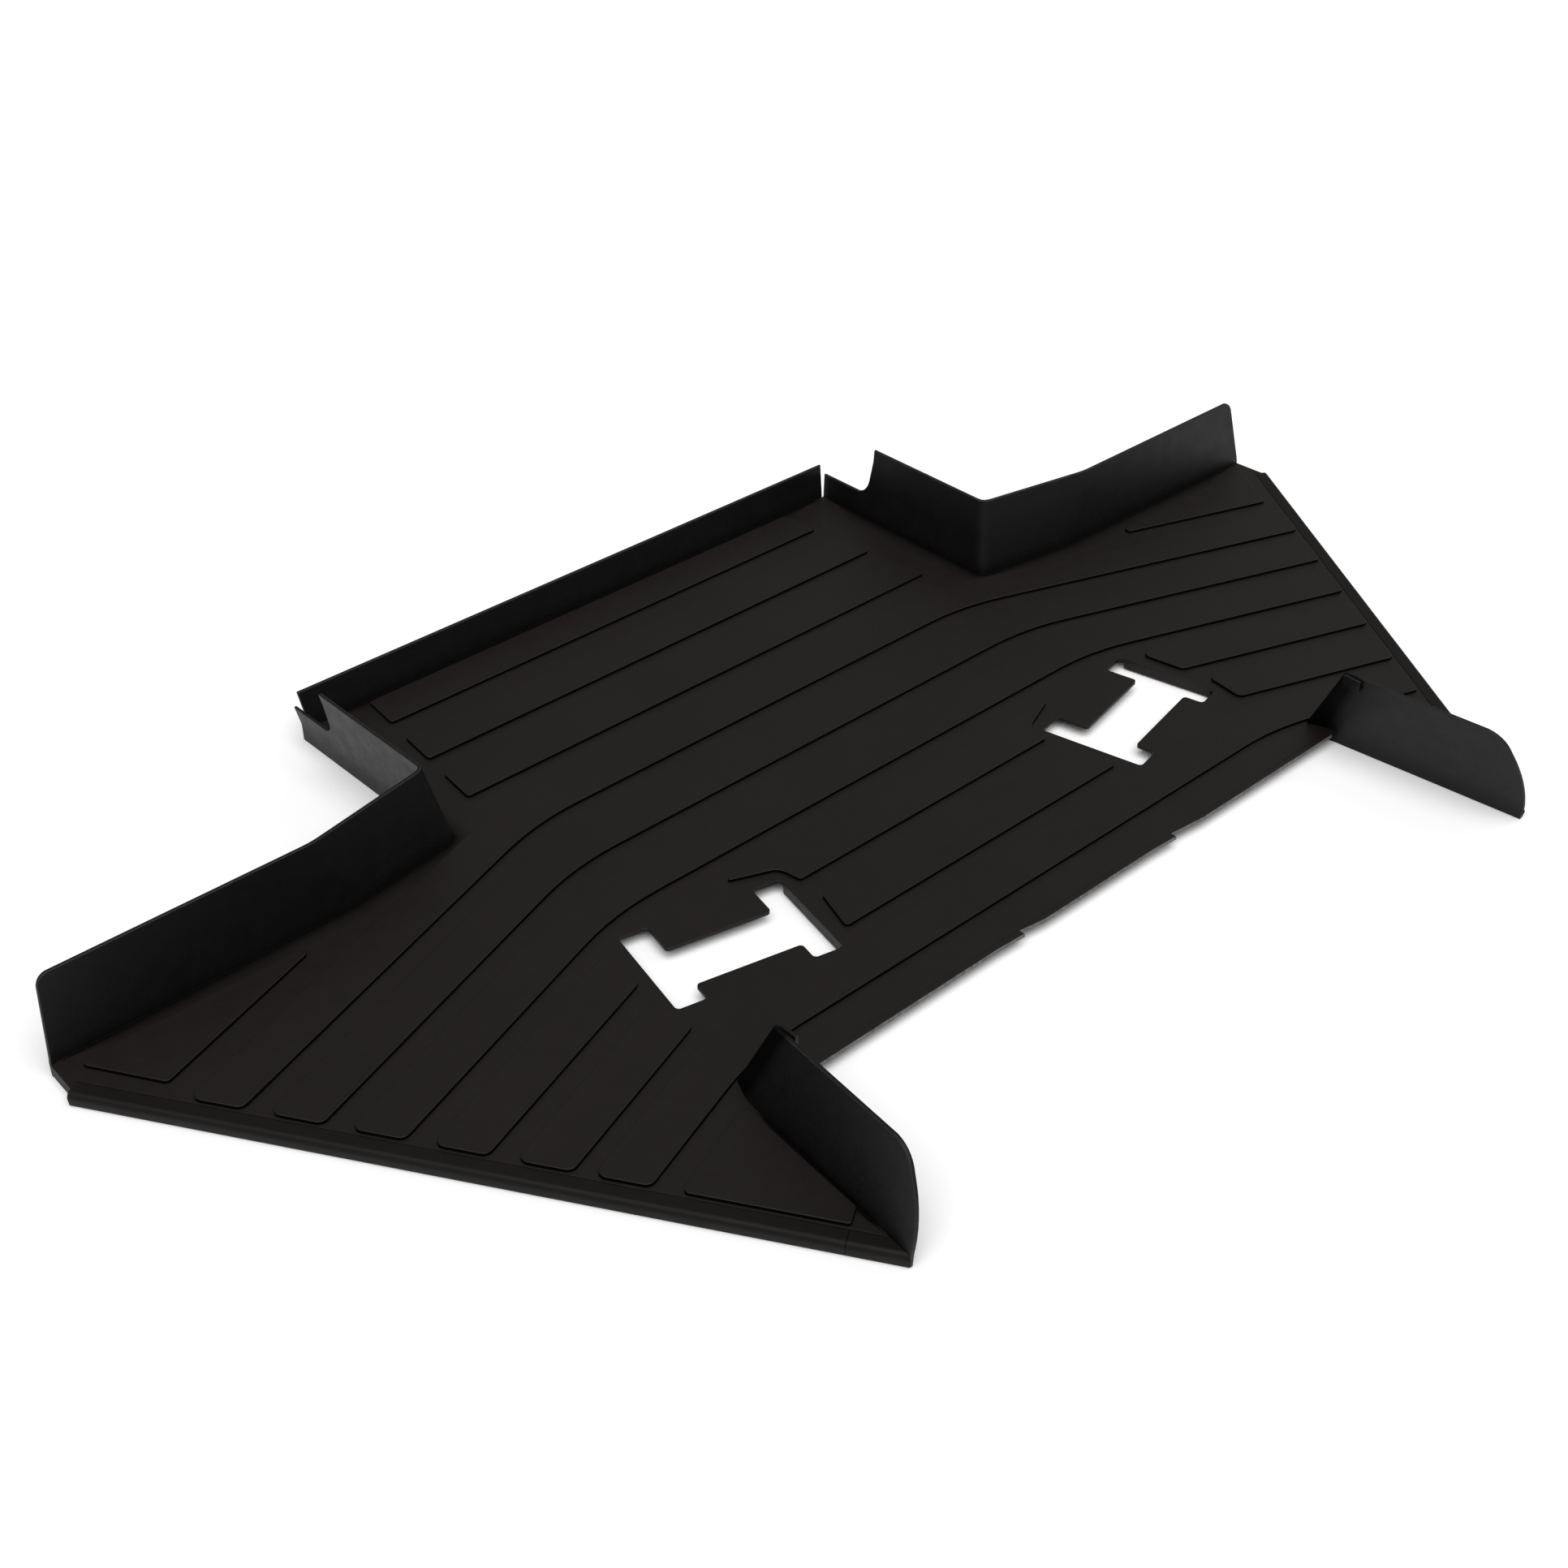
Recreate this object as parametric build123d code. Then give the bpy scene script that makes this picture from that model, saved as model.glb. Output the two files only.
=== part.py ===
from build123d import *
import os
from math import cos, hypot, radians, sin, tan

os.makedirs("parts", exist_ok=True)

# Moulded floor liner for a truck cab. Millimetres.
# +X points to the right-hand wing, +Y to the rear wall, +Z up. The origin is the middle of the
# footprint, at the level that the skirts stand on. Everything below is the right-hand half;
# the left-hand half is its mirror image in the YZ plane.

# Driving dimensions
sheet = 3.5             # thickness of the moulded sheet
floor_top = 13.0        # height of the tray floor over the skirts' lower edges
band_top = 18.0         # the walls are upright to here and flare out above it
tall_top = 90.0         # top of the fins, the arch walls and most of the side walls
rear_top = 50.0         # top of the rear wall
side_low_top = 38.0     # top of the side walls beside the rear wall
slat_height = 3.0       # how far a tread slat stands above the floor
slat_width = 45.0       # across a tread slat
slat_pitch = 75.2       # from one slat of the tray to the next
wing_pitch = 67.4       # the same, measured along the door sill
slat_corner = 8.0       # rounding of a slat's corners in plan
bend_radius = 280.0     # sweep of a slat where it turns into a wing
wing_slope = tan(radians(19.6))     # how a wing's slats fall away towards the sill

# Plan of the right-hand half, along the inner faces of the walls
rear_y = 435.0
rear_half_width = 344.0
side_x = 347.5
side_end_y = 437.0
arch_corner = (side_x, 189.0)
arch_kink = (465.0, 171.5)
arch_end = (760.0, 165.0)
sill_rear = (756.5, 138.0)
sill_front = (404.5, -411.5)
front_y = -249.0
fin_root = (373.0, -218.0)
fin_bend = (382.5, -240.0)
fin_tip = (404.5, -446.0)
wing_split_x = 372.0    # the centre floor plate meets the wing floor plates here
clear_of_all = 600.0    # past the front and the rear of everything

# Upper edge of the same walls, inner face
side_top_x = 361.5
side_end_top_y = 447.0
corner_top = (side_top_x, 206.0)
kink_top = (495.5, 179.0)
arch_top = (752.0, 178.5)
rear_top_y = 441.5
rear_top_half_width = 347.5
fin_root_top = (367.0, -255.0)
fin_bend_top = (369.0, -272.0)
fin_tip_top = (387.0, -446.0)

sill_length = hypot(sill_rear[0] - sill_front[0], sill_rear[1] - sill_front[1])
along = (
    (sill_front[0] - sill_rear[0]) / sill_length,
    (sill_front[1] - sill_rear[1]) / sill_length,
)
outward = (-along[1], along[0])


def sill_point(distance, inset=0.0):
    """A point at a distance along the door sill from its rear end, set in from its crease."""
    x = sill_rear[0] + along[0] * distance - outward[0] * inset
    y = sill_rear[1] + along[1] * distance - outward[1] * inset
    return (x, y)


def meet(start, direction, other_start, other_direction):
    """Where two lines of the plan cross."""
    cross = direction[0] * other_direction[1] - direction[1] * other_direction[0]
    gap = (other_start[0] - start[0], other_start[1] - start[1])
    run = (gap[0] * other_direction[1] - gap[1] * other_direction[0]) / cross
    return (start[0] + direction[0] * run, start[1] + direction[1] * run)


def offset_left(points, distance):
    """The same open line, moved to its left with mitred corners."""
    steps = [(b[0] - a[0], b[1] - a[1]) for a, b in zip(points, points[1:])]
    normals = [(-dy / hypot(dx, dy), dx / hypot(dx, dy)) for dx, dy in steps]
    moved = [
        (p[0] + n[0] * distance, p[1] + n[1] * distance) for p, n in zip(points, normals)
    ]
    last = (
        points[-1][0] + normals[-1][0] * distance,
        points[-1][1] + normals[-1][1] * distance,
    )
    corners = [
        meet(moved[i], steps[i], moved[i + 1], steps[i + 1]) for i in range(len(steps) - 1)
    ]
    return [moved[0], *corners, last]


def slab(points, low, high, radius=0):
    """An upright plate with a polygon plan, its corners rounded if a radius is given."""
    if radius:
        outline = FilletPolyline(*points, radius=radius, close=True)
    else:
        outline = Polyline(*points, close=True)
    return extrude(Pos(0, 0, low) * make_face(outline), high - low)


def wall(levels):
    """A leaning wall, ruled between levels of (height, inner line, outer line)."""
    rings = []
    for height, inner, outer in levels:
        corners = [(x, y, height) for x, y in [*inner, *reversed(outer)]]
        rings.append(Wire.make_polygon(corners, close=True))
    return Solid.make_loft(rings, ruled=True)


def side_profile(points, low, high, plane, radius=0):
    """A prism that trims a wall to its outline as seen from the side."""
    if radius:
        outline = FilletPolyline(*points, radius=radius, close=True)
    else:
        outline = Polyline(*points, close=True)
    return extrude(plane.offset(low) * make_face(outline), high - low)


def save(name, shape):
    shape.label = name
    export_step(shape, f"parts/{name}.step")


def save_pair(name, shape):
    """Writes a right-hand piece and its mirror image."""
    save(f"right_{name}", shape)
    save(f"left_{name}", mirror(shape, about=Plane.YZ))


# --- I-shaped openings ---
opening_centre = (263.0, -88.0)
opening_turn = 12.5
opening_half_length = 80.0
flange_inner = 51.5
flange_front = -53.0
flange_rear = 53.5
web_front = -32.5
web_rear = 19.5
opening_radius = 4.0
collar_thickness = 3.0
collar_bottom = 2.0

opening_place = Pos(*opening_centre, 0) * Rot(0, 0, opening_turn)
opening_outline = [
    (-opening_half_length, flange_front),
    (-flange_inner, flange_front),
    (-flange_inner, web_front),
    (flange_inner, web_front),
    (flange_inner, flange_front),
    (opening_half_length, flange_front),
    (opening_half_length, flange_rear),
    (flange_inner, flange_rear),
    (flange_inner, web_rear),
    (-flange_inner, web_rear),
    (-flange_inner, flange_rear),
    (-opening_half_length, flange_rear),
]
opening = opening_place * slab(opening_outline, 0, floor_top + sheet, opening_radius)

# --- floor: centre plate and two wing plates ---
lip_width = 6.0
floor_bottom = floor_top - sheet
lip_start = 4.0         # the sill lip begins this far along the sill
corner_reach = 8.5      # and the wing's corner stands out this far from its crease
fin_run = (fin_tip[0] - fin_bend[0], fin_tip[1] - fin_bend[1])
fin_meets_sill = meet(fin_bend, fin_run, sill_front, along)
fin_meets_front = meet(fin_bend, fin_run, (0, front_y), (1, 0))
wing_corner = sill_point(lip_start, -corner_reach)
half_floor = slab(
    [
        (0, front_y),
        fin_meets_front,
        fin_meets_sill,
        sill_point(lip_start),
        wing_corner,
        arch_end,
        arch_kink,
        arch_corner,
        (side_x, rear_y),
        (0, rear_y),
    ],
    floor_bottom,
    floor_top,
)
inner_zone = slab(
    [(0, -clear_of_all), (wing_split_x, -clear_of_all), (wing_split_x, clear_of_all),
     (0, clear_of_all)],
    0,
    floor_top,
)
lip_half_length = 371.0
lip_zone = slab(
    [(0, front_y), (lip_half_length, front_y), (lip_half_length, front_y + lip_width),
     (0, front_y + lip_width)],
    floor_bottom,
    floor_top,
)
half_centre = (half_floor & inner_zone) - opening - lip_zone
save("centre_floor", half_centre + mirror(half_centre, about=Plane.YZ))

# The wing's rear outer corner turns down into a short skirt.
corner_line = [arch_end, wing_corner]
corner_inner = offset_left(corner_line, -sheet)
corner_skirt = slab([*corner_line, *reversed(corner_inner)], 0, floor_bottom)
save_pair("wing_floor", (half_floor - inner_zone) + corner_skirt)

# --- front lip: a rounded edge strip with two small finger notches ---
notch_depth = 4.0
ramp_rise = 1.5
front_line = [(lip_half_length, front_y)]
for ramp_start, notch_x, notch_end in [(100.0, 133.0, 175.0), (-105.0, -71.0, -43.0)]:
    front_line += [
        (notch_end, front_y),
        (notch_x, front_y + notch_depth),
        (notch_x, front_y - ramp_rise),
        (ramp_start, front_y),
    ]
front_line.append((-lip_half_length, front_y))
front_lip = slab(
    [
        (-lip_half_length, front_y + lip_width),
        (lip_half_length, front_y + lip_width),
        *front_line,
    ],
    floor_bottom,
    floor_top,
)
save("front_lip", front_lip)

# --- side walls and wheel-arch walls, mitred together at the arch corner ---
foot_inner = [(side_x, side_end_y), arch_corner, arch_kink, arch_end]
top_inner = [(side_top_x, side_end_top_y), corner_top, kink_top, arch_top]
foot_outer = offset_left(foot_inner, sheet)
top_outer = offset_left(top_inner, sheet)


def wall_between(first, last):
    span = slice(first, last + 1)
    return wall(
        [
            (0, foot_inner[span], foot_outer[span]),
            (band_top, foot_inner[span], foot_outer[span]),
            (tall_top, top_inner[span], top_outer[span]),
        ]
    )


scoop_foot_y = 372.0
scoop_top_y = 368.5
scoop_radius = 17.0
above = tall_top + 10
scoop = side_profile(
    [(scoop_foot_y, side_low_top), (clear_of_all, side_low_top), (clear_of_all, above),
     (scoop_top_y, above)],
    0,
    clear_of_all,
    Plane.YZ,
    scoop_radius,
)
save_pair("side_wall", wall_between(0, 1) - scoop)

arch_end_round = 12.0
arch_end_top_x = 750.0
arch_keep = side_profile(
    [(0, 0), (arch_end[0], 0), (arch_end[0], floor_top), (arch_end_top_x, tall_top),
     (0, tall_top)],
    -clear_of_all,
    0,
    Plane.XZ,
)
arch_keep = fillet(
    arch_keep.edges().filter_by(Axis.Y).group_by(Axis.Z)[-1].sort_by(Axis.X)[-1],
    arch_end_round,
)
save_pair("arch_wall", wall_between(1, 3) & arch_keep)

# --- rear wall: its two ends stand free of the side walls ---
rear_foot = [(rear_half_width, rear_y), (-rear_half_width, rear_y)]
rear_upper = [(rear_top_half_width, rear_top_y), (-rear_top_half_width, rear_top_y)]


def behind(line):
    return [(x, y + sheet) for x, y in line]


rear_wall = wall(
    [
        (0, rear_foot, behind(rear_foot)),
        (band_top, rear_foot, behind(rear_foot)),
        (rear_top, rear_upper, behind(rear_upper)),
    ]
)
save("rear_wall", rear_wall)

# --- front fins: a stub that stands on the floor, then the long leaning blade ---
blade_foot = [fin_bend, fin_tip]
blade_top = [fin_bend_top, fin_tip_top]
stub_foot = [fin_root, fin_bend]
stub_top = [fin_root_top, fin_bend_top]
fin_foot_outer = offset_left([fin_root, fin_bend, fin_tip], -sheet)
fin_top_outer = offset_left([fin_root_top, fin_bend_top, fin_tip_top], -sheet)
blade = wall(
    [
        (0, blade_foot, fin_foot_outer[1:]),
        (floor_top, blade_foot, fin_foot_outer[1:]),
        (tall_top, blade_top, fin_top_outer[1:]),
    ]
)
stub = wall(
    [
        (floor_top, stub_foot, fin_foot_outer[:2]),
        (tall_top, stub_top, fin_top_outer[:2]),
    ]
)

# Outline of the fin from the side: flat top, then a long round nose down to the skirt.
nose_start = (-398.0, tall_top)
nose_shoulder = (-424.0, 72.5)
nose_low = (-440.5, 12.0)
nose_foot_y = -439.5
nose_face = make_face(
    Polyline((0, 0), (0, tall_top), nose_start)
    + ThreePointArc(nose_start, (-413.0, 85.5), nose_shoulder)
    + ThreePointArc(nose_shoulder, (-437.0, 43.0), nose_low)
    + Polyline(nose_low, (nose_foot_y, 0), (0, 0))
)
nose_prism = extrude(Plane.YZ * nose_face, clear_of_all)
fin = ((blade - half_floor) & nose_prism) + stub

# The seam runs square to the sill, across the sill lip and up the fin.
seam_distance = 629.0
seam_reach = 100.0
beyond_seam = slab(
    [
        sill_point(seam_distance, seam_reach),
        sill_point(seam_distance, -seam_reach),
        sill_point(seam_distance + seam_reach, -seam_reach),
        sill_point(seam_distance + seam_reach, seam_reach),
    ],
    0,
    tall_top,
)
save_pair("front_fin", fin - beyond_seam)
save_pair("fin_tip", fin & beyond_seam)

# --- sill lips: flat shelf, round nose, drop ---
shelf_width = 11.0
nose_reach = 15.5
nose_level = -5.5
drop_reach = 14.6
sill_plane = Plane(
    origin=(*sill_rear, floor_top), x_dir=(*outward, 0), z_dir=(*along, 0)
)
lip_face = make_face(
    Polyline((0, -sheet), (0, 0), (shelf_width, 0))
    + ThreePointArc((shelf_width, 0), (nose_reach - 1.0, -1.8), (nose_reach, nose_level))
    + Polyline(
        (nose_reach, nose_level),
        (drop_reach, -floor_top),
        (drop_reach - sheet, -floor_top),
        (drop_reach - sheet, -sheet),
        (0, -sheet),
    )
)
lip_solid = extrude(sill_plane.offset(lip_start) * lip_face, sill_length + nose_reach)


def fin_line(share):
    """A point on the foot of the fin's long blade, from its bend (0) to its tip (1)."""
    return (fin_bend[0] + fin_run[0] * share, fin_bend[1] + fin_run[1] * share)


notch_side = slab(
    [fin_line(0), fin_line(2), (0, fin_line(2)[1]), (0, fin_bend[1])], 0, floor_top
)
sill = lip_solid - notch_side - half_floor
save_pair("sill_lip", sill - beyond_seam)
save_pair("sill_end", sill & beyond_seam)

# --- collars turned down along the two long ends of each opening ---
collar_half = 48.0
for label, edge in [("inner", -opening_half_length), ("outer", opening_half_length)]:
    away = collar_thickness if edge > 0 else -collar_thickness
    collar = opening_place * slab(
        [(edge, -collar_half), (edge + away, -collar_half), (edge + away, collar_half),
         (edge, collar_half)],
        collar_bottom,
        floor_bottom,
    )
    save_pair(f"{label}_collar", collar)

# --- fin clips: a small slotted tab at the top inner corner of each fin ---
clip_rear_y = -257.0
clip_length = 18.0
clip_depth = 12.0
clip_wall = 3.0
clip_slot = 2.5
clip_root = 2.8         # the tab's foot starts this far inside the fin, then follows its face
clip_x = fin_top_outer[1][0]
clip_top = tall_top
clip_profile = Polyline(
    (clip_x + clip_root, clip_top - clip_depth),
    (clip_x + clip_root, clip_top - clip_depth + clip_wall),
    (clip_x - clip_slot, clip_top - clip_depth + clip_wall),
    (clip_x - clip_slot, clip_top),
    (clip_x - clip_slot - clip_wall, clip_top),
    (clip_x - clip_slot - clip_wall, clip_top - clip_depth),
    close=True,
)
clip = extrude(Plane.XZ.offset(-clip_rear_y) * make_face(clip_profile), clip_length)
save_pair("fin_clip", clip - fin)

# --- tread slats ---
slat_low = floor_top
slat_high = floor_top + slat_height
first_near_y = 383.0
first_near_distance = 78.0
sill_inset = 2.5
end_length = slat_width + 0.5
small_corner = 5.0
crisp_corner = 4.0      # corners of the short slats between the side walls


def slat(points, radius=slat_corner):
    return slab(points, slat_low, slat_high, radius)


def both_sides(points):
    """Closes a plan outline of right-hand points with their mirror images."""
    return [*points, *[(-x, y) for x, y in reversed(points)]]


end_slant = 5.0
for row, end_x in enumerate([284.0, 293.5, 302.5]):
    near_y = first_near_y - row * slat_pitch
    far_y = near_y + slat_width
    rear_slat = both_sides([(end_x, near_y), (end_x - end_slant, far_y)])
    save(f"rear_slat_{row + 1}", slat(rear_slat, crisp_corner))


def wing_line_meets(point, y):
    """Where the line of a wing slat's edge reaches the straight part of a tray slat."""
    return (point[0] - (y - point[1]) / wing_slope, y)


def near_corner(number):
    return sill_point(first_near_distance + wing_pitch * (number - 1), sill_inset)


def far_corner(number):
    return sill_point(
        first_near_distance + wing_pitch * (number - 1) - end_length, sill_inset
    )


def cross_slat(near, far, near_y):
    far_y = near_y + slat_width
    points = both_sides(
        [wing_line_meets(near, near_y), near, far, wing_line_meets(far, far_y)]
    )
    radii = [bend_radius, slat_corner, slat_corner, bend_radius + slat_width]
    return slab(points, slat_low, slat_high, [*radii, *reversed(radii)])


for number in (2, 3, 4):
    near_y = first_near_y - (number + 1) * slat_pitch
    row = cross_slat(near_corner(number), far_corner(number), near_y)
    save(f"cross_slat_{number - 1}", row)

front_near_y = -206.0
front_near_distance = 476.6
front_near = sill_point(front_near_distance, sill_inset)
front_far = sill_point(front_near_distance - end_length, sill_inset)
front_slat = cross_slat(front_near, front_far, front_near_y)
save("front_slat", front_slat - fin - mirror(fin, about=Plane.YZ) - opening)

centre_near_y = -67.5
centre_far_y = centre_near_y + slat_width
hook = both_sides([(162.0, centre_near_y), (166.0, -43.0), (217.0, centre_far_y)])
save("centre_slat_1", slab(hook, slat_low, slat_high, [crisp_corner, 14, 2, 2, 14, crisp_corner]))
second_near_y = -141.5
save(
    "centre_slat_2",
    slat(
        both_sides([(178.0, second_near_y), (163.5, second_near_y + slat_width)]),
        crisp_corner,
    ),
)

# Slats that belong to one wing only
arch_margin = 15.0
arch_slat_near = sill_point(76.0, arch_margin)
arch_slat_far_y = arch_end[1] - arch_margin
arch_slat = [
    arch_slat_near,
    wing_line_meets(arch_slat_near, arch_slat_far_y),
    (745.0, arch_slat_far_y),
]
save_pair("arch_slat", slat(arch_slat, small_corner))


def wing_slat(number, near_end_x, far_end_x):
    near = near_corner(number)
    far = far_corner(number)
    near_end = (near_end_x, near[1] + (near[0] - near_end_x) * wing_slope)
    far_end = (far_end_x, far[1] + (far[0] - far_end_x) * wing_slope)
    return slat([near, near_end, far_end, far])


save_pair("wing_slat_1", wing_slat(5, 356.0, 346.0))
save_pair("wing_slat_2", wing_slat(6, 357.0, 363.0))

# The tip slat runs up to the seam and is cut square there
fin_margin = 6.0
past_seam = 1.1
tip_far = sill_point(500.0, sill_inset)
tip_side = (
    fin_bend[0] + fin_margin,
    tip_far[1] + (tip_far[0] - fin_bend[0]) * wing_slope,
)
tip_at_seam = sill_point(seam_distance, 20.5)
tip_slat = [
    tip_far,
    tip_side,
    (
        tip_side[0] + (tip_at_seam[0] - tip_side[0]) * past_seam,
        tip_side[1] + (tip_at_seam[1] - tip_side[1]) * past_seam,
    ),
    sill_point(seam_distance + seam_reach / 5, sill_inset),
]
save_pair("tip_slat", slat(tip_slat, small_corner) - beyond_seam)
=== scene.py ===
import math

import bmesh
import bpy
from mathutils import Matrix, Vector, geometry, kdtree


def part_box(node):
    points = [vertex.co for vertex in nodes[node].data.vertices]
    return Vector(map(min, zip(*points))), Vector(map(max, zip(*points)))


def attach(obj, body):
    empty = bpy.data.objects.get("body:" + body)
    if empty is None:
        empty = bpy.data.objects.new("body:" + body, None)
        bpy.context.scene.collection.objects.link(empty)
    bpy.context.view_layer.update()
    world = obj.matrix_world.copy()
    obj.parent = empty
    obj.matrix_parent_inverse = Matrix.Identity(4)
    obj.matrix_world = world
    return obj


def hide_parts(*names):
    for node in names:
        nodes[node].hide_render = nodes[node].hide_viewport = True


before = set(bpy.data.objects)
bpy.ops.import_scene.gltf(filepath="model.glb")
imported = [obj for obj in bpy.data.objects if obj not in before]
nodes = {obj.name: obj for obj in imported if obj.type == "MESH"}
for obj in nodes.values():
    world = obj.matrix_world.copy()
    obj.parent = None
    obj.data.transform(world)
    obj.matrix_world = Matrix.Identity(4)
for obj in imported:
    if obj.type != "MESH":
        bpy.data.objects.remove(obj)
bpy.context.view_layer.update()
scene = bpy.context.scene
mm = 0.001
print("frame loaded:", len(nodes), "nodes")


# Outlines and corners taken from the CAD nodes

def signedArea(loop):
    return sum(a.x * b.y - b.x * a.y for a, b in zip(loop, loop[1:] + loop[:1])) / 2


samePlace = 0.02 * mm             # points closer than this are one
straight = 0.004                  # a turn below this, in radians, is no corner


def cleanLoop(loop):
    # drops doubled points and points in the middle of straight runs
    kept = [p for i, p in enumerate(loop) if (p - loop[i - 1]).length > samePlace]
    result = []
    for i, p in enumerate(kept):
        before = p - kept[i - 1]
        after = kept[(i + 1) % len(kept)] - p
        if abs(before.angle_signed(after)) > straight:
            result.append(p)
    return result if signedArea(result) > 0 else result[::-1]


def walkLoops(edges):
    edges = set(edges)
    loops = []
    while edges:
        first = edges.pop()
        loop = list(first.verts)
        while True:
            step = next((e for e in loop[-1].link_edges if e in edges), None)
            if step is None:
                break
            edges.discard(step)
            vert = step.other_vert(loop[-1])
            if vert == loop[0]:
                break
            loop.append(vert)
        loops.append(cleanLoop([v.co.xy.copy() for v in loop]))
    return sorted(loops, key=signedArea, reverse=True)


def section(node, height):
    # closed outlines of a CAD node cut level at that height, the largest first
    bm = bmesh.new()
    bm.from_mesh(nodes[node].data)
    bmesh.ops.remove_doubles(bm, verts=bm.verts, dist=1e-6)
    cut = bmesh.ops.bisect_plane(
        bm, geom=bm.verts[:] + bm.edges[:] + bm.faces[:],
        plane_co=(0, 0, height), plane_no=(0, 0, 1),
    )
    loops = walkLoops(e for e in cut["geom_cut"] if isinstance(e, bmesh.types.BMEdge))
    bm.free()
    return loops


def corner(node, height, near):
    # the CAD outline's own corner that lies nearest to a rough place in plan
    return min(section(node, height)[0], key=lambda p: (p - Vector(near)).length)


ledgeDrop = 52 * mm               # from the side wall's top to its low rear end
level = {
    "ground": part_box("right_arch_wall")[0].z,
    "underside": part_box("centre_floor")[0].z,
    "floor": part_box("centre_floor")[1].z,
    "slat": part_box("cross_slat_1")[1].z,
    "ledge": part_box("right_side_wall")[1].z - ledgeDrop,
    "rear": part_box("rear_wall")[1].z,
    "tall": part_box("right_arch_wall")[1].z,
}
# the walls' upright foot ends and their lean begins at "band"
level["band"] = min(
    v.co.z for v in nodes["right_arch_wall"].data.vertices if v.co.z > level["floor"] + mm
)
hair = 0.1 * mm                   # keeps a cut just inside a flat end
sheet = level["floor"] - level["underside"]
lowCut = level["floor"] - 3 * hair    # plan outlines are read at these two heights
highCut = level["tall"] - hair


# Soft lines: a polyline by length whose corners are eased over a half length each

def knotLine(points, ease):
    s, knots = 0.0, []
    for i, p in enumerate(points):
        if i:
            s += (p - points[i - 1]).length
        knots.append((s, p, ease[i]))
    return knots


def sameKnots(foot, points):
    return [(s, p, h) for (s, q, h), p in zip(foot, points)]


def softPoint(knots, s):
    for (s0, p0, h0), (s1, p1, h1), (s2, p2, h2) in zip(knots, knots[1:], knots[2:]):
        u = s - s1
        if abs(u) < h1:
            before = (p1 - p0) / (s1 - s0)
            after = (p2 - p1) / (s2 - s1)
            return p1 - before * ((h1 - u) ** 2 / (4 * h1)) + after * ((h1 + u) ** 2 / (4 * h1))
    for (s0, p0, h0), (s1, p1, h1) in zip(knots, knots[1:]):
        if s <= s1 or (s1, p1, h1) == knots[-1]:
            return p0 + (p1 - p0) * ((s - s0) / (s1 - s0))


def easedCorner(p, before, after, half, parts):
    # points of the short curve that takes the corner at p off
    turns = [half * k / parts for k in range(-parts, parts + 1)]
    return [p - before * ((half - u) ** 2 / (4 * half)) + after * ((half + u) ** 2 / (4 * half))
            for u in turns]


class Leaning:
    # the face of a wall that stands upright to a bend level and leans above it
    def __init__(self, foot, top, bend, height, side, ease=2.5 * mm):
        self.foot, self.top, self.bend, self.height = foot, top, bend, height
        self.side, self.ease = side, ease

    def plan(self, s, z):
        u = z - self.bend
        if u < -self.ease:
            lift = 0.0
        elif u > self.ease:
            lift = u
        else:
            lift = (u + self.ease) ** 2 / (4 * self.ease)
        low = softPoint(self.foot, s)
        return low + (softPoint(self.top, s) - low) * (lift / (self.height - self.bend))

    def at(self, s, z, depth):
        step = 0.5 * mm
        run = self.plan(s + step, z) - self.plan(s - step, z)
        away = Vector((-run.y, run.x)).normalized() * self.side
        p = self.plan(s, z) + away * depth
        return Vector((p.x, p.y, z))

    def reach(self, z, axis, value, low, high):
        # the length along the foot at which the face passes a plan coordinate
        rising = self.plan(high, z)[axis] > self.plan(low, z)[axis]
        for turn in range(40):
            middle = (low + high) / 2
            if (self.plan(middle, z)[axis] < value) == rising:
                low = middle
            else:
                high = middle
        return (low + high) / 2


def extreme(node, z, axis, sign):
    return max(sign * p[axis] for p in section(node, z)[0]) * sign


# Meshes built from outlines

def densify(loop, spacing):
    result = []
    for p, q in zip(loop, loop[1:] + loop[:1]):
        parts = max(1, math.ceil((q - p).length / spacing))
        result += [p + (q - p) * (k / parts) for k in range(parts)]
    return result


def insetLoop(points, distances):
    # moves each point towards the left of a closed loop, mitred
    result = []
    for i, p in enumerate(points):
        a = (p - points[i - 1]).normalized()
        b = (points[(i + 1) % len(points)] - p).normalized()
        left = Vector((-a.y - b.y, a.x + b.x)).normalized()
        share = max(left.dot(Vector((-a.y, a.x))), 0.4)
        result.append(p + left * (distances[i] / share))
    return result


def within(point, loops):
    odd = False
    for loop in loops:
        for p, q in zip(loop, loop[1:] + loop[:1]):
            if (p.y > point.y) != (q.y > point.y):
                if point.x < p.x + (q.x - p.x) * (point.y - p.y) / (q.y - p.y):
                    odd = not odd
    return odd


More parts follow.
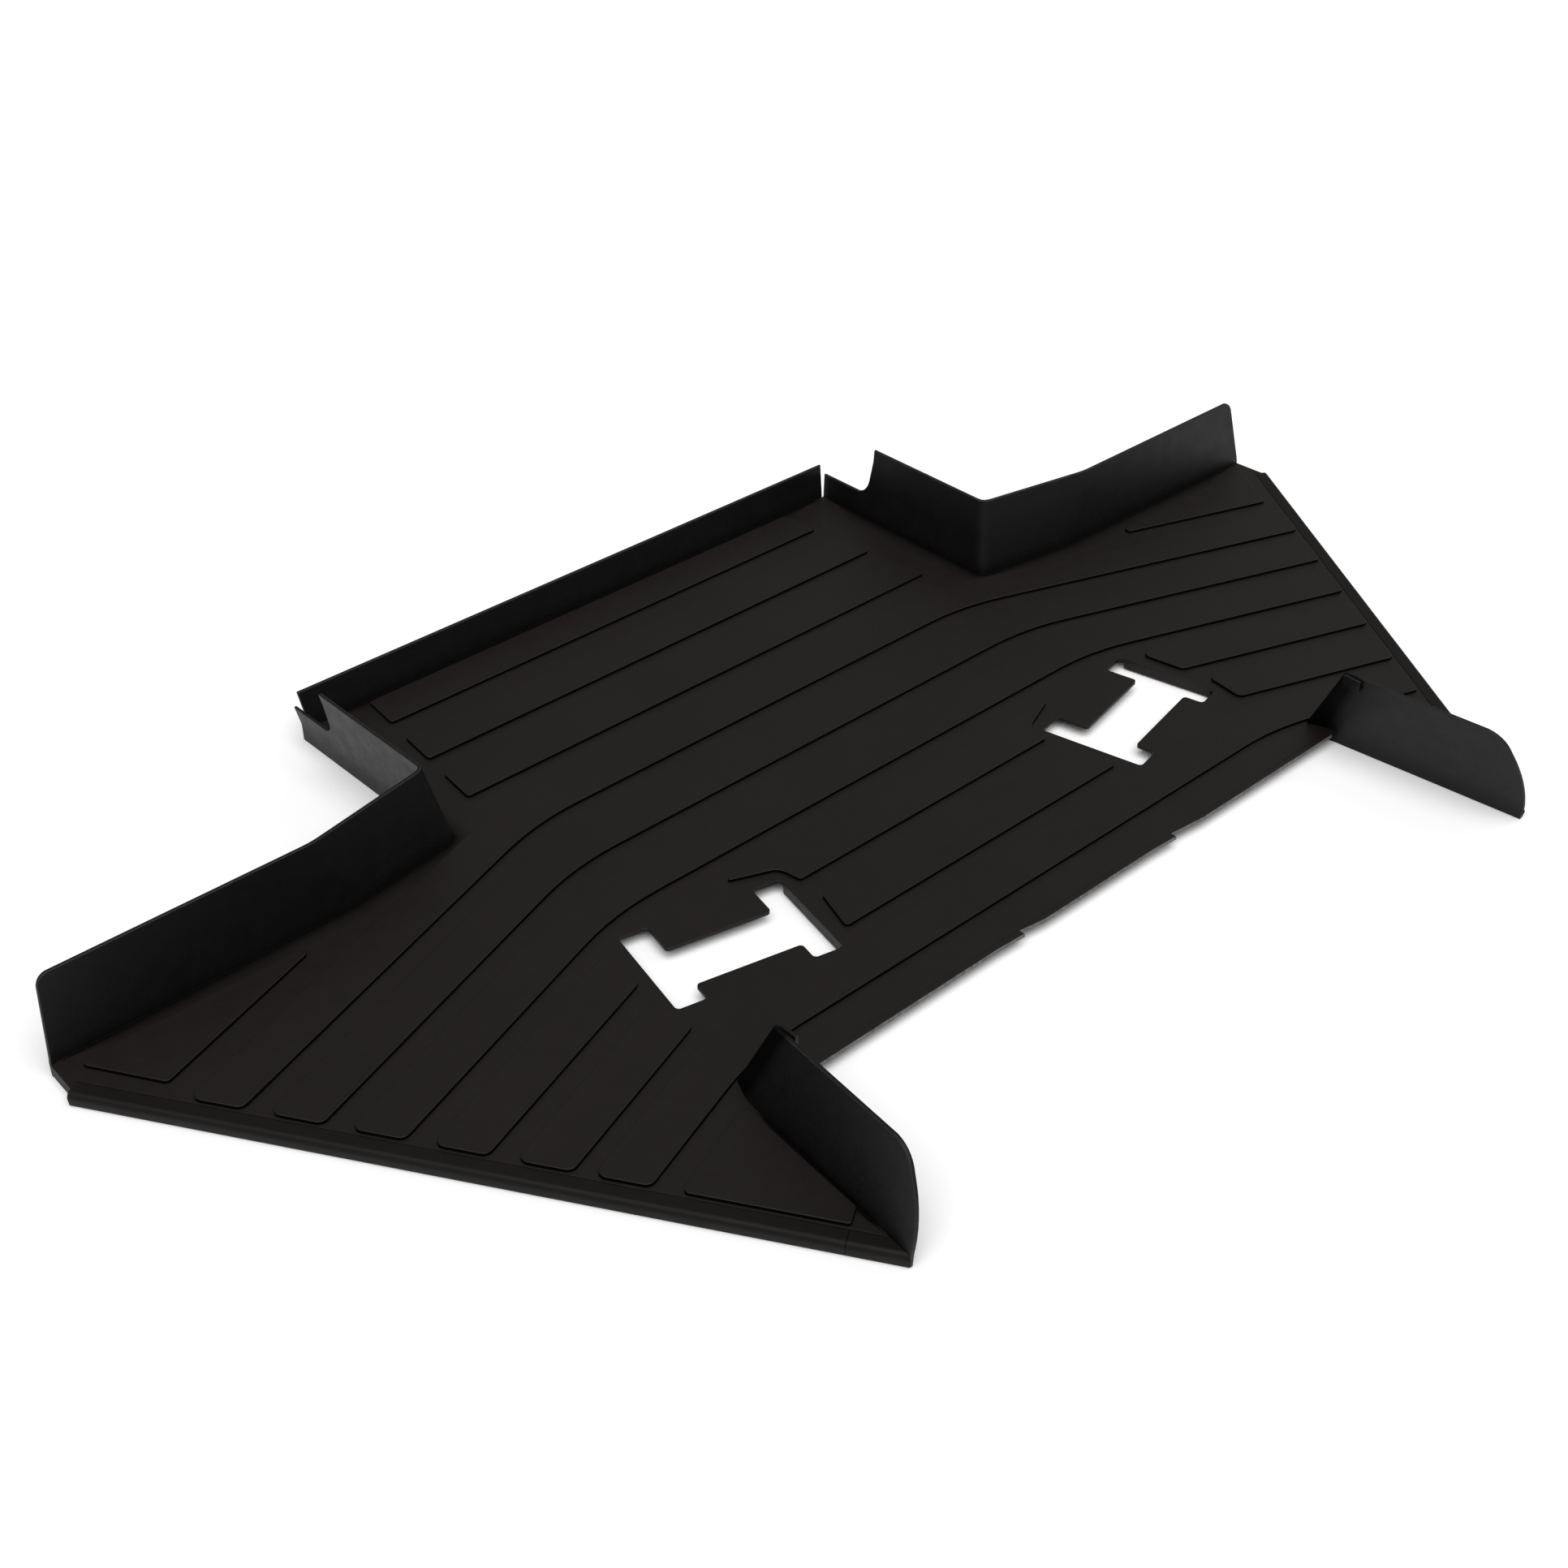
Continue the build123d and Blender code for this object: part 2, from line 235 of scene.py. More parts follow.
def fillLoops(loops, spacing=0.0):
    # triangles between closed loops, with points of a grid inside if a spacing is given
    border = [p for loop in loops for p in loop]
    edges, start = [], 0
    for loop in loops:
        edges += [(start + k, start + (k + 1) % len(loop)) for k in range(len(loop))]
        start += len(loop)
    inside = []
    if spacing:
        tree = kdtree.KDTree(len(border))
        for i, p in enumerate(border):
            tree.insert((p.x, p.y, 0), i)
        tree.balance()
        xs, ys = [p.x for p in border], [p.y for p in border]
        for i in range(int((max(xs) - min(xs)) / spacing)):
            for j in range(int((max(ys) - min(ys)) / spacing)):
                p = Vector((min(xs) + (i + 0.5) * spacing, min(ys) + (j + 0.5) * spacing))
                if tree.find((p.x, p.y, 0))[2] > 0.6 * spacing and within(p, loops):
                    inside.append(p)
    out = geometry.delaunay_2d_cdt(border + inside, edges, [], 1, 1e-7)
    points, faces = out[0], out[2]
    order = [origin[0] if origin else None for origin in out[3]]
    back = {origin: i for i, origin in enumerate(order)}
    fixed = {frozenset((back.get(a), back.get(b))) for a, b in edges}
    # groups of triangles that no border parts, each kept if its largest one is inside
    beside = {}
    for i, f in enumerate(faces):
        for a, b in zip(f, f[1:] + f[:1]):
            if frozenset((a, b)) not in fixed:
                beside.setdefault(frozenset((a, b)), []).append(i)
    links = {i: [] for i in range(len(faces))}
    for pair in beside.values():
        if len(pair) == 2:
            links[pair[0]].append(pair[1])
            links[pair[1]].append(pair[0])
    kept, seen = [], set()
    for i in range(len(faces)):
        if i in seen:
            continue
        group, waiting = [], [i]
        seen.add(i)
        while waiting:
            f = waiting.pop()
            group.append(faces[f])
            for other in links[f]:
                if other not in seen:
                    seen.add(other)
                    waiting.append(other)
        largest = max(group, key=lambda f: geometry.area_tri(*[points[k] for k in f]))
        if within(sum((points[k] for k in largest), Vector((0, 0))) / 3, loops):
            kept += group
    return points, kept, order


sharpTurn = math.radians(40)      # edges that turn more stay sharp in the shading


def finished(bm, mesh):
    # outward faces and smooth shading; says so if the shell isn't closed
    bmesh.ops.recalc_face_normals(bm, faces=bm.faces)
    gaps = sum(1 for e in bm.edges if not e.is_manifold)
    if gaps:
        print("  open edges in", mesh.name, gaps)
    bm.to_mesh(mesh)
    bm.free()
    mesh.shade_smooth()
    mesh.set_sharp_from_angle(angle=sharpTurn)
    return mesh


def newMesh(name, verts, faces, wear, shade):
    mesh = bpy.data.meshes.new(name)
    mesh.from_pydata(verts, [], faces)
    for label, values in (("wear", wear), ("shade", shade)):
        layer = mesh.attributes.new(label, "FLOAT", "POINT")
        layer.data.foreach_set("value", values)
    bm = bmesh.new()
    bm.from_mesh(mesh)
    bmesh.ops.remove_doubles(bm, verts=bm.verts, dist=1e-7)
    return finished(bm, mesh)


def moulded(name, outline, surface, thickness, edge, spacing, dark=None):
    # a closed sheet with rounded edges, laid over a surface by length and height
    steps = 4
    profile = [(edge * 1.8, 0.0, 0.0)]
    for k in range(steps + 1):
        a = math.pi / 2 * k / steps
        profile.append((edge * (1 - math.sin(a)), edge * (1 - math.cos(a)), math.sin(2 * a)))
    profile += [(i, thickness - d, w) for i, d, w in reversed(profile)]
    outline = densify(outline if signedArea(outline) > 0 else outline[::-1], spacing)
    count = len(outline)
    rings = [insetLoop(outline, [i] * count) for i, d, w in profile]
    dark = dark or (lambda s, z: 0.0)
    verts, wear, shade = [], [], []
    for ring, (i, d, w) in zip(rings, profile):
        verts += [surface.at(p.x, p.y, d) for p in ring]
        wear += [w] * count
        shade += [dark(p.x, p.y) for p in ring]
    faces = []
    for r in range(len(rings) - 1):
        for k in range(count):
            n = (k + 1) % count
            faces.append((r * count + k, r * count + n, (r + 1) * count + n, (r + 1) * count + k))
    points, kept, order = fillLoops([rings[0]], spacing)
    for depth, ringStart in ((0.0, 0), (thickness, (len(rings) - 1) * count)):
        index = []
        for p, origin in zip(points, order):
            if origin is not None and origin < count:
                index.append(ringStart + origin)
            else:
                index.append(len(verts))
                verts.append(surface.at(p.x, p.y, depth))
                wear.append(0.0)
                shade.append(dark(p.x, p.y))
        faces += [tuple(index[i] for i in f) for f in kept]
    return newMesh(name, verts, faces, wear, shade)


plateShape = {
    "steps": 4, "ringGap": 0.1 * mm, "roundGap": 0.05 * mm, "footShade": 0.9,
    # rings of the shadow beside a cove: (order, share of its width, darkness)
    "fade": ((3, 1.0, 0.0), (2, 0.45, 0.3), (1, 0.12, 0.7)),
}


def plate(name, loops, edgeKind, low, high, cove, sink, hold, sideWearAndReflection=0.0):
    # a closed flat plate; edgeKind gives each edge point its
    # (cove share, round radius, shadow width, groove share);
    # the cove and groove shares also set painted shade in the colour
    steps = plateShape["steps"]
    verts, wear, shade, faces, tops, bottoms = [], [], [], [], [], []
    for loop in loops:
        count, start = len(loop), len(verts)
        kinds = [edgeKind(p) for p in loop]
        inner = [hold + max(c * cove, r) for c, r, w, g in kinds]
        rings = [[(i + w * share + plateShape["ringGap"] * n, 0.0, c * dark)
                  for i, (c, r, w, g) in zip(inner, kinds)]
                 for n, share, dark in plateShape["fade"]]
        rings.append([(i, 0.0, c * plateShape["footShade"])
                      for i, (c, r, w, g) in zip(inner, kinds)])
        for k in range(steps + 1):
            a = math.pi / 2 * k / steps
            ring = []
            for c, r, w, g in kinds:
                hollowIn = cove * (1 - math.sin(a)) - sink * k / steps
                hollowUp = cove * (1 - math.cos(a))
                roundIn = r * (1 - math.sin(a)) + plateShape["roundGap"] * (1 - k / steps)
                ring.append((
                    c * hollowIn + (1 - c) * roundIn,
                    c * hollowUp - (1 - c) * r * (1 - math.cos(a)),
                    max(c, g * math.sin(a)),
                ))
            rings.append(ring)
        for number, ring in enumerate(rings):
            moved = insetLoop(loop, [i for i, dz, dark in ring])
            verts += [Vector((p.x, p.y, high + dz)) for p, (i, dz, dark) in zip(moved, ring)]
            turn = max(0, number - 4) / steps
            # extra lightening of the sides, used only on the front strip: partly its cut edge,
            # partly a painted reflection of the bright ground
            worn = [max(math.sin(math.pi * turn), sideWearAndReflection * turn) if number > 4 else 0.0] * count
            wear += [x * (1 - c) * (1 - g) * min(1, r / mm + sideWearAndReflection)
                     for x, (c, r, w, g) in zip(worn, kinds)]
            shade += [dark for i, dz, dark in ring]
            if number == 0:
                tops.append((moved, start))
        verts += [Vector((p.x, p.y, low)) for p in moved]
        wear += [sideWearAndReflection * (1 - g) for c, r, w, g in kinds]
        shade += [0.0] * count
        bottoms.append((moved, len(verts) - count))
        for r in range(len(rings)):
            for k in range(count):
                n = (k + 1) % count
                faces.append((start + r * count + k, start + r * count + n,
                              start + (r + 1) * count + n, start + (r + 1) * count + k))
    for caps, height in ((tops, high), (bottoms, low)):
        owner = [first + k for ring, first in caps for k in range(len(ring))]
        points, kept, order = fillLoops([ring for ring, first in caps])
        index = []
        for p, origin in zip(points, order):
            if origin is not None:
                index.append(owner[origin])
            else:
                index.append(len(verts))
                verts.append(Vector((p.x, p.y, height)))
                wear.append(0.0)
                shade.append(0.0)
        faces += [tuple(index[i] for i in f) for f in kept]
    return newMesh(name, verts, faces, wear, shade)


def cutMesh(mesh, name, *planes):
    # keeps what is behind each plane (point, normal), closed again along the cuts
    bm = bmesh.new()
    bm.from_mesh(mesh)
    for point, normal in planes:
        bmesh.ops.bisect_plane(
            bm, geom=bm.verts[:] + bm.edges[:] + bm.faces[:],
            plane_co=point, plane_no=normal, clear_outer=True,
        )
        bmesh.ops.holes_fill(bm, edges=[e for e in bm.edges if e.is_boundary], sides=0)
    return finished(bm, bpy.data.meshes.new(name))


def mirrored(mesh, name):
    bm = bmesh.new()
    bm.from_mesh(mesh)
    for v in bm.verts:
        v.co.x = -v.co.x
    bmesh.ops.remove_doubles(bm, verts=bm.verts, dist=1e-7)
    return finished(bm, bpy.data.meshes.new(name))


def place(name, mesh, material, slot, *replaced):
    piece = bpy.data.objects.new(name, mesh)
    mesh.name = name
    mesh.materials.clear()
    mesh.materials.append(material)
    scene.collection.objects.link(piece)
    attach(piece, "root")
    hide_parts(*replaced)
    return piece


def placePair(name, mesh, material, slot, *replaced):
    other = mirrored(mesh, "left." + name)
    place("right." + name, mesh, material, slot, *["right_" + n for n in replaced])
    place("left." + name, other, material, slot, *["left_" + n for n in replaced])


# Materials

vinylScale = {"cloud": 9, "swell": 14, "sheen": 60, "scuff": 240, "pit": 900, "speck": 1300,
              "pore": 2200, "poreShare": 0.5, "bumpDepth": 0.12 * mm, "swellDepth": 0.5 * mm,
              "swellStrength": 0.25, "shadeShare": 0.9, "shadeColour": (0.0006, 0.0006, 0.0006),
              "shadeGloss": 0.15}    # scales are in turns per metre, roughly


def vinyl(name, look):
    mat = bpy.data.materials.new(name)
    mat.use_nodes = True
    tree = mat.node_tree
    add, link = tree.nodes.new, tree.links.new
    shader = tree.nodes["Principled BSDF"]
    coord = add("ShaderNodeTexCoord")

    def noise(scale, detail, rough=0.5):
        n = add("ShaderNodeTexNoise")
        n.inputs["Scale"].default_value = scale
        n.inputs["Detail"].default_value = detail
        n.inputs["Roughness"].default_value = rough
        link(coord.outputs["Object"], n.inputs["Vector"])
        return n.outputs["Fac"]

    def remap(value, low, high, start=0.3, end=0.7):
        n = add("ShaderNodeMapRange")
        n.inputs["From Min"].default_value = start
        n.inputs["From Max"].default_value = end
        n.inputs["To Min"].default_value = low
        n.inputs["To Max"].default_value = high
        link(value, n.inputs["Value"])
        return n.outputs["Result"]

    def blend(factor, first, second):
        n = add("ShaderNodeMix")
        n.data_type = "RGBA"
        link(factor, n.inputs["Factor"])
        for socket, colour in ((n.inputs[6], first), (n.inputs[7], second)):
            if isinstance(colour, tuple):
                socket.default_value = (*colour, 1)
            else:
                link(colour, socket)
        return n.outputs[2]

    def maths(kind, a, b):
        n = add("ShaderNodeMath")
        n.operation = kind
        for socket, value in zip(n.inputs, (a, b)):
            if isinstance(value, float):
                socket.default_value = value
            else:
                link(value, socket)
        return n.outputs[0]

    # slow cloudiness of the moulding and fine scuffs over it
    cloud = remap(noise(vinylScale["cloud"], 4), 0, 1)
    colour = blend(cloud, look["colour"], look["cloud"])
    edgeNode = add("ShaderNodeAttribute")
    edgeNode.attribute_name = "wear"
    broken = remap(noise(vinylScale["scuff"], 3), 0.35, 1.0)
    worn = maths("MULTIPLY", edgeNode.outputs["Fac"], broken)
    worn = maths("MULTIPLY", worn, look["wear"])
    colour = blend(worn, colour, look["worn"])
    specks = remap(noise(vinylScale["speck"], 2), 0, look["specks"], 0.64, 0.76)
    colour = blend(specks, colour, look["speck"])
    shadeNode = add("ShaderNodeAttribute")
    shadeNode.attribute_name = "shade"
    dim = maths("MULTIPLY", shadeNode.outputs["Fac"], vinylScale["shadeShare"])
    colour = blend(dim, colour, vinylScale["shadeColour"])
    link(colour, shader.inputs["Base Color"])
    # shaded grooves lose their gloss; the socket's own value is that of the open surface
    shader.inputs["Specular IOR Level"].default_value = look["specular"]
    dull = look["specular"] * vinylScale["shadeGloss"]
    gloss = remap(shadeNode.outputs["Fac"], look["specular"], dull, 0, 1)
    link(gloss, shader.inputs["Specular IOR Level"])
    sheen = remap(noise(vinylScale["sheen"], 5, 0.6), look["roughness"] - 0.05,
                  look["roughness"] + 0.06)
    pitted = remap(noise(vinylScale["pit"], 2), -0.03, 0.05)
    link(maths("ADD", sheen, pitted), shader.inputs["Roughness"])
    # leather-like grain: small cells with finer pits on top
    cells = add("ShaderNodeTexVoronoi")
    cells.feature = "SMOOTH_F1"
    cells.inputs["Scale"].default_value = look["grain"]
    cells.inputs["Smoothness"].default_value = 0.6
    link(coord.outputs["Object"], cells.inputs["Vector"])
    pores = maths("MULTIPLY", noise(vinylScale["pore"], 3), vinylScale["poreShare"])
    height = maths("ADD", cells.outputs["Distance"], pores)
    bump = add("ShaderNodeBump")
    bump.inputs["Strength"].default_value = look["bump"]
    bump.inputs["Distance"].default_value = vinylScale["bumpDepth"]
    link(height, bump.inputs["Height"])
    swell = add("ShaderNodeBump")
    swell.inputs["Strength"].default_value = vinylScale["swellStrength"]
    swell.inputs["Distance"].default_value = vinylScale["swellDepth"]
    link(noise(vinylScale["swell"], 2), swell.inputs["Height"])
    link(swell.outputs["Normal"], bump.inputs["Normal"])
    link(bump.outputs["Normal"], shader.inputs["Normal"])
    return mat


treadLook = {"colour": (0.0078, 0.0061, 0.0053), "cloud": (0.0090, 0.0071, 0.0063),
             "worn": (0.020, 0.018, 0.017), "wear": 0.35, "roughness": 0.46, "specular": 0.2,
             "grain": 620, "bump": 0.5, "specks": 0.25, "speck": (0.02, 0.019, 0.018)}
wallLook = {"colour": (0.0024, 0.0024, 0.0025), "cloud": (0.0034, 0.0033, 0.0034),
            "worn": (0.035, 0.034, 0.034), "wear": 0.7, "roughness": 0.45, "specular": 0.24,
            "grain": 700, "bump": 0.45, "specks": 0.5, "speck": (0.03, 0.03, 0.034)}
edgeLook = {"colour": (0.0054, 0.0045, 0.0041), "cloud": (0.0064, 0.0055, 0.0050),
            "worn": (0.02, 0.018, 0.017), "wear": 0.3, "roughness": 0.5, "specular": 0.12,
            "grain": 760, "bump": 0.3, "specks": 0.2, "speck": (0.02, 0.019, 0.018)}
# the front strip's sides are painted much lighter: partly the cut sheet's own tone, partly a
# painted reflection of the bright ground
cutAndReflectionLook = dict(treadLook, worn=(0.17, 0.168, 0.165), wear=0.95)
treadVinyl = vinyl("tread vinyl", treadLook)
wallVinyl = vinyl("wall vinyl", wallLook)
edgeVinyl = vinyl("edge vinyl", edgeLook)
cutAndReflectionVinyl = vinyl("cut edge and painted reflection vinyl", cutAndReflectionLook)
print("materials made")


# Side wall and wheel-arch wall: one sheet bent at the arch corner and the kink

wallShape = {
    "edge": 0.9 * mm, "spacing": 7 * mm, "cornerEase": 10 * mm, "kinkEase": 9 * mm,
    "topLean": 11 * mm,           # the arch wall's top line runs on this far
    "sideBack": 10 * mm,          # the side wall's top line starts this far behind its foot
    "partBack": 45 * mm,          # from the arch corner back to where the two walls part
    "footParts": 100, "topParts": 90,
    "endLevels": (6, 13, 18, 26, 36, 46, 56, 66, 74, 78, 80, 82, 84, 86, 87.5, 88.8, 89.5),
    "scoopRises": (40, 30, 22, 17, 13, 9.5, 6.5, 4, 2.2, 1, 0.3),
    "rearLevels": (28, 18, 9),    # these three in millimetres over the ground or the ledge
}
sideEnd = corner("right_side_wall", lowCut, (0, 1))
archCorner = corner("right_arch_wall", lowCut, (0, 0))
archKink = corner("right_arch_wall", lowCut, (0.465, 0.171))
archEnd = corner("right_arch_wall", lowCut, (0.8, 0.1))
cornerTop = corner("right_arch_wall", highCut, (0, 0.2))
kinkTop = corner("right_arch_wall", highCut, (0.497, 0.178))
archTop = corner("right_arch_wall", highCut, (0.741, 0.17))
sideTop = corner("right_side_wall", highCut, (0, 1))
archTop = archTop + (archTop - kinkTop).normalized() * wallShape["topLean"]
sideTop = Vector((sideTop.x, sideEnd.y + wallShape["sideBack"]))
ease = [0, wallShape["cornerEase"], wallShape["kinkEase"], 0]
wallFoot = knotLine([sideEnd, archCorner, archKink, archEnd], ease)
wallTop = sameKnots(wallFoot, [sideTop, cornerTop, kinkTop, archTop])
wallFace = Leaning(wallFoot, wallTop, level["band"], level["tall"], 1)
total = wallFoot[-1][0]
nearRear = (-50 * mm, 200 * mm)   # stretches of the foot in which a height's end is looked for
nearEnd = (total - 60 * mm, total + 20 * mm)
outline = []
for k in range(wallShape["footParts"] + 1):
    outline.append(Vector((total * k / wallShape["footParts"], level["ground"])))
for z in wallShape["endLevels"]:
    x = extreme("right_arch_wall", z * mm, 0, 1)
    outline.append(Vector((wallFace.reach(z * mm, 0, x, *nearEnd), z * mm)))
topEnd = wallFace.reach(highCut, 0, extreme("right_arch_wall", highCut, 0, 1), *nearEnd)
scoopTop = wallFace.reach(highCut, 1, extreme("right_side_wall", highCut, 1, 1), *nearRear)
for k in range(wallShape["topParts"] + 1):
    s = topEnd + (scoopTop - topEnd) * k / wallShape["topParts"]
    outline.append(Vector((s, level["tall"])))
for up in wallShape["scoopRises"]:
    z = level["ledge"] + up * mm
    y = extreme("right_side_wall", z, 1, 1)
    outline.append(Vector((wallFace.reach(z, 1, y, *nearRear), z)))
for z in (level["ledge"], *(h * mm for h in wallShape["rearLevels"])):
    y = extreme("right_side_wall", z - hair, 1, 1)
    outline.append(Vector((wallFace.reach(z, 1, y, *nearRear), z)))
wallMesh = moulded("wall", outline, wallFace, sheet, wallShape["edge"], wallShape["spacing"])
# the two walls part in the straight run behind the corner, so no joint shows
partY = archCorner.y + wallShape["partBack"]
placePair("side.wall", cutMesh(wallMesh, "side", ((0, partY, 0), (0, -1, 0))),
          wallVinyl, "wall_sheet", "side_wall")
placePair("arch.wall", cutMesh(wallMesh, "arch", ((0, partY, 0), (0, 1, 0))),
          wallVinyl, "wall_sheet", "arch_wall")
print("side and arch walls made")


# Rear wall

rearShape = {"edge": 0.9 * mm, "spacing": 8 * mm}
rearCut = level["rear"] - hair
rearFoot = [corner("rear_wall", lowCut, end) for end in ((-1, 0), (1, 0))]
rearTop = [corner("rear_wall", rearCut, end) for end in ((-1, 0), (1, 0))]
rearFoot[0].y = rearFoot[1].y = min(p.y for p in rearFoot)
rearTop[0].y = rearTop[1].y = min(p.y for p in section("rear_wall", rearCut)[0])
rearTop[1].x = -rearTop[0].x
foot = knotLine(rearFoot, [0, 0])
rearFace = Leaning(foot, sameKnots(foot, rearTop), level["band"], level["rear"], 1)
length = foot[-1][0]
mesh = moulded("rear", [Vector((0, level["ground"])), Vector((length, level["ground"])),
                        Vector((length, level["rear"])), Vector((0, level["rear"]))],
               rearFace, sheet, rearShape["edge"], rearShape["spacing"])
place("rear.panel", mesh, wallVinyl, "wall_sheet", "rear_wall")
print("rear wall made")


# Front fins: a stub on the floor, then the long blade with its round nose

finShape = {
    "edge": 0.7 * mm, "spacing": 6 * mm, "bendEase": 9 * mm, "footEase": 2 * mm,
    "stubSink": 1.5 * mm,         # how far the stub reaches into the floor
    "noseRoom": 6 * mm, "stubDark": 0.85, "darkFrom": 3 * mm, "darkOver": 9 * mm,
    "noseLevels": (0.3, 4, 8, 12, 18, 26, 34, 42, 50, 58, 64, 69, 73, 76.5, 80, 83, 85.5,
                   87.5, 89, 89.7),    # millimetres over the ground
}
onFloor = level["floor"] + 0.5 * mm
finRoot = corner("right_front_fin", onFloor, (0.374, -0.21))
finSeam = corner("right_front_fin", onFloor, (0.40, -0.378))
finBend = corner("right_front_fin", onFloor, (0.3835, -0.24))
finTipLow = corner("right_fin_tip", onFloor, (0.41, -0.45))
rootTop = corner("right_front_fin", highCut, (0.367, -0.253))
bendTop = corner("right_front_fin", highCut, (0.3705, -0.272))
tipTop = corner("right_fin_tip", highCut, (0.384, -0.40))
footRun = (finTipLow - finBend) / abs(finTipLow.y - finBend.y)
topRun = (tipTop - bendTop) / abs(tipTop.y - bendTop.y)
noseLow = extreme("right_fin_tip", level["floor"], 1, -1) - finShape["noseRoom"]
finFootPoints = [finRoot, finBend, finBend + footRun * (finBend.y - noseLow)]
finTopPoints = [rootTop, bendTop, bendTop + topRun * (bendTop.y - noseLow)]
finFoot = knotLine(finFootPoints, [0, finShape["bendEase"], 0])
finFace = Leaning(finFoot, sameKnots(finFoot, finTopPoints), level["floor"], level["tall"], -1,
                  finShape["footEase"])
bladeStart = finFoot[1][0]
finLength = finFoot[2][0]
stubFoot = level["floor"] - finShape["stubSink"]
outline = [Vector((0, stubFoot)), Vector((bladeStart, stubFoot)),
           Vector((bladeStart + mm, level["ground"]))]
for z in finShape["noseLevels"]:
    y = extreme("right_fin_tip", z * mm, 1, -1)
    reach = finFace.reach(z * mm, 1, y, bladeStart, finLength + 30 * mm)
    outline.append(Vector((reach, z * mm)))
outline.append(Vector((finFace.reach(highCut, 1, tipTop.y, bladeStart, finLength), level["tall"])))
outline.append(Vector((0, level["tall"])))


def stubShade(s, z):
    # the stub sits in the fold's own shade
    into = (bladeStart + finShape["darkFrom"] - s) / finShape["darkOver"]
    return finShape["stubDark"] * min(1, max(0, into))


finMesh = moulded("fin", outline, finFace, sheet, finShape["edge"], finShape["spacing"], stubShade)
creaseRear = corner("right_sill_lip", lowCut, (0.754, 0.134))
creaseSeam = corner("right_sill_lip", lowCut, (0.417, -0.391))
along = (creaseSeam - creaseRear).normalized()
outward = Vector((-along.y, along.x))
seamGap = 0.22 * mm               # half of the seam's width across the sill, and across the fin
finGap = 0.05 * mm
seam3 = Vector((*creaseSeam, 0))
along3 = Vector((*along, 0))
placePair("fin.blade", cutMesh(finMesh, "blade", (seam3 - along3 * finGap, along3)),
          wallVinyl, "wall_sheet", "front_fin")
placePair("fin.nose", cutMesh(finMesh, "nose", (seam3 + along3 * finGap, -along3)),
          wallVinyl, "wall_sheet", "fin_tip")
print("fins made")


# Floor: one surface with coves at the wall feet, parted into three plates where nothing shows

floorShape = {
    "cove": 1.5 * mm, "sink": 0.4 * mm, "hold": 0.6 * mm, "spacing": 9 * mm,
    "fade": 14 * mm,              # the cove runs out over this length at a wall's free end
    "nearFoot": 0.9 * mm,         # an edge point this near to a wall's foot gets the cove
    "shadow": 17 * mm, "shadowFrom": 20 * mm, "shadowSlope": 0.35,
    "holeEdge": 0.6 * mm, "sillEdge": 0.55 * mm,
    "jointRoom": 2 * mm, "frontRoom": 4 * mm,    # kept free of the sill's groove
}
frontShape = {"joint": 0.35 * mm, "edge": 0.5 * mm, "groove": 0.8, "hold": 0.1 * mm,
              "spacing": 6 * mm, "sideWearAndReflection": 1.0, "onJoint": 0.3 * mm, "finFrom": 1.5 * mm}
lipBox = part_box("front_lip")


def topEdges(names):
    # closed border loops of the top faces of several nodes taken together
    bm = bmesh.new()
    for n in names:
        bm.from_mesh(nodes[n].data)
    bmesh.ops.remove_doubles(bm, verts=bm.verts, dist=samePlace)
    high = level["floor"] - samePlace / 2
    flat = {f for f in bm.faces if all(v.co.z > high for v in f.verts)}
    edges = [e for e in bm.edges if sum(1 for f in e.link_faces if f in flat) == 1]
    loops = walkLoops(edges)
    bm.free()
    return loops


floorLoops = topEdges(["centre_floor", "left_wing_floor", "right_wing_floor"])
eased = [(archCorner, wallShape["cornerEase"]), (archKink, wallShape["kinkEase"])]
eased += [(Vector((-p.x, p.y)), h) for p, h in eased]


def easeLoop(loop):
    result = []
    for i, p in enumerate(loop):
        h = next((h for q, h in eased if (p - q).length < mm), 0)
        if not h:
            result.append(p)
            continue
        before = (p - loop[i - 1]).normalized()
        after = (loop[(i + 1) % len(loop)] - p).normalized()
        result += easedCorner(p, before, after, h, 5)
    return result


def sampled(knots, start, end, parts=60):
    return [softPoint(knots, start + (end - start) * k / parts) for k in range(parts + 1)]


bladeFrom = finFace.reach(level["floor"], 1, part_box("right_wing_floor")[0].y, 0, finLength)
frontFrom = finFace.reach(level["floor"], 1, lipBox[0].y + frontShape["finFrom"], 0,
                          finLength)
feet = [sampled(wallFoot, 0, total, 120), sampled(finFoot, frontFrom, bladeFrom, 30)]
feet += [[Vector((-p.x, p.y)) for p in line] for line in feet]
feet.append(rearFoot)


def floorEdge(p):
    best = width = 0.0
    for line in feet:
        run = 0.0
        whole = sum((b - a).length for a, b in zip(line, line[1:]))
        for a, b in zip(line, line[1:]):
            share = min(1, max(0, (p - a).dot(b - a) / (b - a).length_squared))
            if (a.lerp(b, share) - p).length < floorShape["nearFoot"]:
                here = run + share * (b - a).length
                free = min(here, whole - here)
                best = max(best, min(1, free / floorShape["fade"]))
                wide = floorShape["shadowSlope"] * max(0, free - floorShape["shadowFrom"])
                width = max(width, min(floorShape["shadow"], wide))
            run += (b - a).length
    if best:
        return best, 0.0, width, 0.0
    if abs(p.y - lipBox[1].y) < mm and abs(p.x) < lipBox[1].x + mm:
        return 0.0, frontShape["joint"], 0.0, frontShape["groove"]
    beside = abs(p.x) > lipBox[1].x + floorShape["jointRoom"]
    if beside and abs(p.y - lipBox[0].y) > floorShape["frontRoom"]:
        return 0.0, floorShape["sillEdge"], 0.0, 1.0
    return 0.0, floorShape["holeEdge"], 0.0, 0.0


